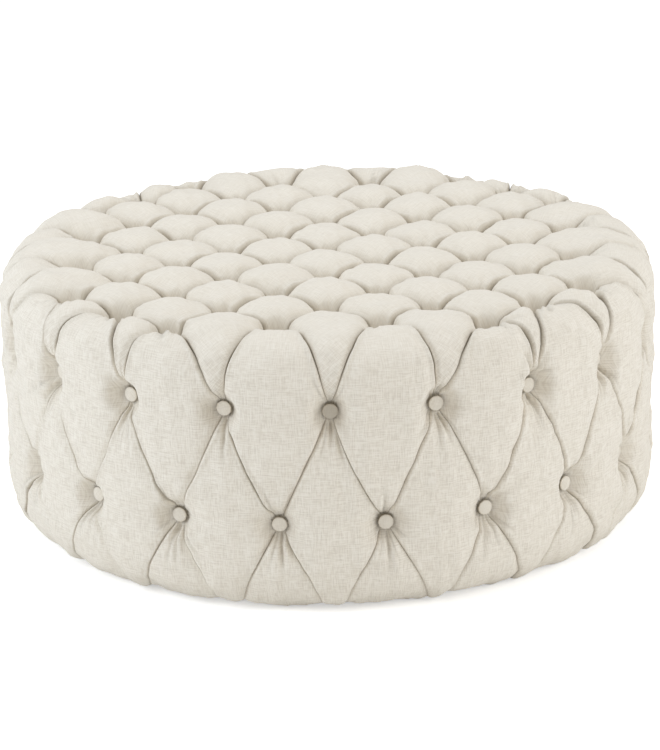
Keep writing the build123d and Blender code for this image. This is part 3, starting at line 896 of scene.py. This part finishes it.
def newMaterial(name):
    material = bpy.data.materials.new(name)
    material.use_nodes = True
    tree = material.node_tree
    tree.nodes.clear()
    return material, tree


def rampSpots(ramp, spots):
    # Colours of a ramp, from its first place to its last
    band = ramp.color_ramp
    band.elements[0].position, band.elements[0].color = spots[0][0], linear(spots[0][1])
    band.elements[1].position, band.elements[1].color = spots[-1][0], linear(spots[-1][1])
    for place, colour in spots[1:-1]:
        band.elements.new(place).color = linear(colour)


def crossedThreads(tree, source, along, across, seed, detail):
    # Noise drawn out along both thread directions, its mean at a half; sizes in millimetres
    noises = []
    for sizes in ((along, across), (across, along)):
        mapping = addStep(tree, "ShaderNodeMapping", {
            "Scale": (1000 / sizes[0], 1000 / sizes[1], 1.0),
            "Location": (seed, seed * 0.7 + len(noises), 0.0),
        }, {"Vector": source})
        noises.append(addStep(tree, "ShaderNodeTexNoise", {
            "Scale": 1.0, "Detail": detail, "Roughness": 0.55,
        }, {"Vector": mapping}))
    both = addStep(tree, "ShaderNodeMath", {"operation": "ADD"}, {0: noises[0], 1: noises[1]})
    return addStep(tree, "ShaderNodeMath", {"operation": "MULTIPLY", 1: 0.5}, {0: both})


def linenMaterial(name, toneAttribute):
    material, tree = newMaterial(name)
    uv = addStep(tree, "ShaderNodeUVMap", {"uv_map": "weaveMap"})
    slubs = crossedThreads(tree, uv, weave["slubLength"], weave["slubWidth"], weave["slubSeed"], 1.0)
    singles = crossedThreads(tree, uv, weave["threadLength"], weave["threadWidth"], weave["threadSeed"], 0.0)
    centred = addStep(tree, "ShaderNodeMath", {"operation": "SUBTRACT", 1: 0.5}, {0: singles})
    threadSum = addStep(tree, "ShaderNodeMath", {"operation": "MULTIPLY_ADD", 1: weave["threadShare"]}, {
        0: centred, 2: slubs,
    })
    show = addStep(tree, "ShaderNodeAttribute", {"attribute_name": "weaveShow"})
    offMiddle = addStep(tree, "ShaderNodeMath", {"operation": "SUBTRACT", 1: weave["noiseMiddle"]}, {
        0: threadSum,
    })
    shown = addStep(tree, "ShaderNodeMath", {"operation": "MULTIPLY_ADD", 2: weave["noiseMiddle"]}, {
        0: offMiddle, 1: show.outputs["Fac"],
    })
    ramp = addStep(tree, "ShaderNodeValToRGB", None, {"Fac": shown})
    rampSpots(ramp, tuple(zip(weave["places"], (weave["dark"], weave["middle"], weave["light"]))))
    # painted shade: the weave's colours drawn towards greige by this attribute
    tone = addStep(tree, "ShaderNodeAttribute", {"attribute_name": toneAttribute})
    toned = addStep(tree, "ShaderNodeMix", {"data_type": "RGBA", 7: linear(weave["fold"])}, {
        0: tone.outputs["Fac"], 6: ramp,
    })
    bandsPerUnit = 20 / (2 * math.pi)               # the wave node's own, at a scale of 1
    ribs = [addStep(tree, "ShaderNodeTexWave", {
        "bands_direction": direction, "wave_type": "BANDS",
        "Scale": 1000 / weave["ribSpacing"] / bandsPerUnit, "Distortion": 0.8, "Detail": 1.0,
    }, {"Vector": uv}).outputs[1] for direction in ("X", "Y")]
    grid = addStep(tree, "ShaderNodeMath", {"operation": "ADD"}, {0: ribs[0], 1: ribs[1]})
    relief = addStep(tree, "ShaderNodeMath", {"operation": "MULTIPLY_ADD", 1: weave["ribShare"]}, {
        0: grid, 2: shown,
    })
    bump = addStep(tree, "ShaderNodeBump", {"Strength": 0.55, "Distance": weave["reliefDepth"]}, {
        "Height": relief,
    })
    shader = addStep(tree, "ShaderNodeBsdfPrincipled", {
        "Roughness": weave["roughness"], "Specular IOR Level": 0.2,
        "Sheen Weight": 0.12, "Sheen Roughness": 0.6,
    }, {"Base Color": toned.outputs[2], "Normal": bump})
    addStep(tree, "ShaderNodeOutputMaterial", None, {"Surface": shader})
    return material


# plain-woven linen: matt, with uneven threads, and painted shade towards greige in its pleats, round its
# buttons and along its creases
linen = linenMaterial("woven linen", "foldShade")
# the same linen drawn tight over metal shells: flatter threads, with painted shade where it tucks under
buttonLinen = linenMaterial("linen drawn over button shells", "buttonToneAndShade")
coverPiece.data.materials.append(linen)
for piece in groups:
    piece.data.materials.append(buttonLinen)


def plainMaterial(name, colours, grain, roughness, metallic=0.0):
    # Noise between two colours and in relief; grain is its spots to the metre along X, Y and Z
    material, tree = newMaterial(name)
    place = addStep(tree, "ShaderNodeTexCoord").outputs["Object"]
    mapping = addStep(tree, "ShaderNodeMapping", {"Scale": grain}, {"Vector": place})
    noise = addStep(tree, "ShaderNodeTexNoise", {"Scale": 1.0, "Detail": 5.0, "Roughness": 0.6}, {
        "Vector": mapping,
    })
    ramp = addStep(tree, "ShaderNodeValToRGB", None, {"Fac": noise})
    rampSpots(ramp, ((0.3, colours[0]), (0.7, colours[1])))
    bump = addStep(tree, "ShaderNodeBump", {"Strength": 0.5, "Distance": 0.0003}, {
        "Height": noise,
    })
    shader = addStep(tree, "ShaderNodeBsdfPrincipled", {"Roughness": roughness, "Metallic": metallic}, {
        "Base Color": ramp, "Normal": bump,
    })
    addStep(tree, "ShaderNodeOutputMaterial", None, {"Surface": shader})
    return material


slotMaterials = {
    # open-cell polyurethane foam: pale and dull, with fine pores
    "foam": plainMaterial("polyurethane foam", ("#e0d2a0", "#f0e6c0"), (900, 900, 900), 0.95),
    # waxed twine: tan with darker strands
    "twine": plainMaterial("waxed tufting twine", ("#b49a6c", "#d2be94"), (1500, 1500, 1500), 0.6),
    # sanded plywood: long soft grain along X
    "plywood": plainMaterial("sanded plywood", ("#b48a58", "#d6b384"), (8.4, 126, 126), 0.65),
    # planed pine: pale, with straight darker grain along Z
    "pine": plainMaterial("planed pine", ("#c89a5c", "#e6c48c"), (126, 126, 7.2), 0.6),
    # pressed hardboard: even brown with fine fibre
    "hardboard": plainMaterial("pressed hardboard", ("#5c4028", "#7a583a"), (260, 260, 260), 0.7),
    # moulded nylon: dark, with a slight sheen
    "nylon": plainMaterial("moulded nylon", ("#1c1a18", "#2c2926"), (400, 400, 400), 0.45),
    # black cambric: thin non-woven cloth, dull and faintly mottled
    "cambric": plainMaterial("black cambric", ("#121212", "#242424"), (500, 500, 500), 0.95),
    # zinc-plated steel: grey metal with a light mottle
    "zinc_steel": plainMaterial("zinc-plated steel", ("#a8a8a4", "#c8c8c4"), (300, 300, 300), 0.35, 1.0),
    "linen": linen,
    "button_linen": buttonLinen,
}
slotOf = {part["node"]: part["material_slot"] for part in frame["record"]["subparts"]}
for node, piece in frame["nodes"].items():
    for slot in piece.material_slots:
        slot.material = slotMaterials[slotOf[node]]
print("materials done")

# Floor, light and camera
studio = {
    "floorSize": 14.0,
    "floorColour": "#fbfbfa",
    "floorGlow": 0.47,           # lifts the floor to white for the camera, and keeps the shadow
    "worldStrength": 0.55,
    "worldColour": "#fffdfa",
    "lamps": (                   # name, place, power, size, colour
        ("left softbox", (-3.2, -1.2, 1.8), 48.0, 2.0, "#e4f0ff"),
        ("right softbox", (3.2, -1.4, 1.6), 37.0, 2.0, "#f3f8ff"),
        ("overhead softbox", (0.0, 0.5, 3.4), 30.5, 2.4, "#e9f2ff"),
    ),
    "lampAim": 0.2,              # height on the middle line
    "cameraDistance": 4.488,
    "cameraElevation": 18.6,
    "cameraRoll": 1.35,
    "targetHeight": 0.2205,
    "sensorHeight": 36.0,
    "focalPixels": 2853.0,
    "frameHeight": 750.0,
    "shiftPixels": (1.15, -14.66),
}


def seenRays(tree):
    # 1 where a surface is seen, also in gloss or through glass, and 0 where it lights other things
    rays, seen = addStep(tree, "ShaderNodeLightPath"), None
    for kind in ("Is Camera Ray", "Is Glossy Ray", "Is Transmission Ray"):
        links = {0: rays.outputs[kind]}
        if seen:
            links[1] = seen
        seen = addStep(tree, "ShaderNodeMath", {"operation": "MAXIMUM", 1: 0.0}, links)
    return seen


def floorPiece():
    size = studio["floorSize"] / 2
    points = np.array([(-size, -size, 0), (size, -size, 0), (size, size, 0), (-size, size, 0)], dtype=float)
    floor = meshObject("studio_floor", points, [(0, 1, 2, 3)], smooth=False)
    material, tree = newMaterial("painted studio floor")     # matt white paint: even, without gloss
    diffuse = addStep(tree, "ShaderNodeBsdfDiffuse", {"Color": linear(studio["floorColour"])})
    glow = addStep(tree, "ShaderNodeEmission", {"Color": (1, 1, 1, 1), "Strength": studio["floorGlow"]})
    both = addStep(tree, "ShaderNodeAddShader", None, {0: diffuse, 1: glow})
    mix = addStep(tree, "ShaderNodeMixShader", None, {
        0: seenRays(tree), 1: diffuse, 2: both,
    })
    addStep(tree, "ShaderNodeOutputMaterial", None, {"Surface": mix})
    floor.data.materials.append(material)


def studioWorld():
    world = bpy.data.worlds.new("studio world")
    world.use_nodes = True
    tree = world.node_tree
    tree.nodes.clear()
    soft = addStep(tree, "ShaderNodeBackground", {
        "Color": linear(studio["worldColour"]), "Strength": studio["worldStrength"],
    })
    white = addStep(tree, "ShaderNodeBackground", {"Color": (1, 1, 1, 1), "Strength": 1.0})
    mix = addStep(tree, "ShaderNodeMixShader", None, {
        0: seenRays(tree), 1: soft, 2: white,
    })
    addStep(tree, "ShaderNodeOutputWorld", None, {"Surface": mix})
    bpy.context.scene.world = world


def areaLamp(name, place, power, size, colour):
    data = bpy.data.lights.new(name, "AREA")
    data.energy, data.size, data.color = power, size, linear(colour)[:3]
    lamp = bpy.data.objects.new(name, data)
    lamp.location = place
    aim = Vector((0, 0, studio["lampAim"])) - Vector(place)
    lamp.rotation_euler = aim.to_track_quat("-Z", "Y").to_euler()
    bpy.context.scene.collection.objects.link(lamp)


def studioCamera():
    elevation = math.radians(studio["cameraElevation"])
    target = Vector((0, 0, studio["targetHeight"]))
    away = Vector((0, -math.cos(elevation), math.sin(elevation)))
    data = bpy.data.cameras.new("photo camera")
    data.sensor_fit, data.sensor_height = "VERTICAL", studio["sensorHeight"]
    data.lens = studio["focalPixels"] * data.sensor_height / studio["frameHeight"]
    data.shift_x, data.shift_y = (shift / studio["frameHeight"] for shift in studio["shiftPixels"])
    camera = bpy.data.objects.new("photo camera", data)
    look = (-away).to_track_quat("-Z", "Y").to_matrix().to_4x4()
    roll = Matrix.Rotation(math.radians(-studio["cameraRoll"]), 4, "Z")
    camera.matrix_world = Matrix.Translation(target + away * studio["cameraDistance"]) @ look @ roll
    bpy.context.scene.collection.objects.link(camera)
    bpy.context.scene.camera = camera


floorPiece()
studioWorld()
for lamp in studio["lamps"]:
    areaLamp(*lamp)
studioCamera()
print("floor, lamps and camera done")
bpy.context.scene.view_settings.view_transform = "Standard"
